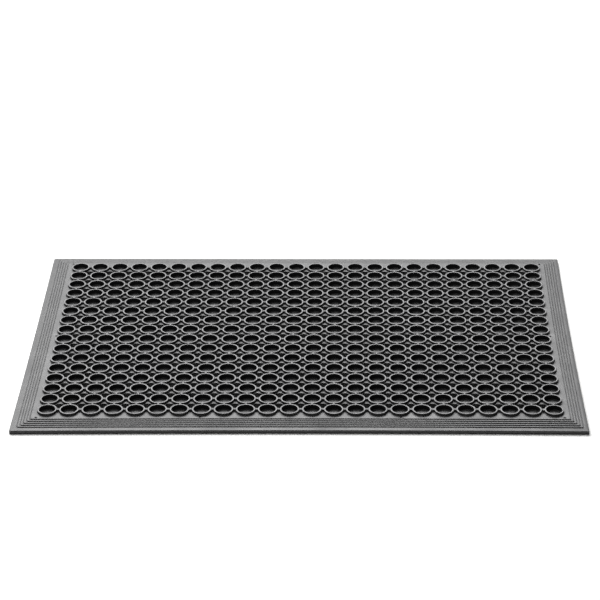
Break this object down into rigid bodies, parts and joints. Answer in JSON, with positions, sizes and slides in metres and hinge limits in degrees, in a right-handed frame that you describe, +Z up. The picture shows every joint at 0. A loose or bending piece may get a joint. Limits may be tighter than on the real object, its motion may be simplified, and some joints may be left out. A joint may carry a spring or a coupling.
{
  "type": "door mat",
  "caption": "Rectangular rubber scraper mat: a grid of round open-topped rings linked over a perforated web, inside a low ribbed ramp border.",
  "frame": {"origin": "centre of the mat's footprint, on the floor", "axes": "+X along the length, +Y from the front edge to the back edge, +Z up"},
  "size_m": [0.6, 0.4, 0.0102],
  "materials": {
    "rubber": "matt moulded black rubber with a grey bloom"
  },
  "bodies": {
    "root": {"border_front": "rubber", "border_back": "rubber", "border_left": "rubber", "border_right": "rubber", "web": "rubber", "ring_row_01": "rubber", "ring_row_02": "rubber", "ring_row_03": "rubber", "ring_row_04": "rubber", "ring_row_05": "rubber", "ring_row_06": "rubber", "ring_row_07": "rubber", "ring_row_08": "rubber", "ring_row_09": "rubber", "ring_row_10": "rubber", "ring_row_11": "rubber", "ring_row_12": "rubber", "ring_row_13": "rubber", "ring_row_14": "rubber", "ring_row_15": "rubber", "ring_row_16": "rubber"}
  },
  "joints": []
}
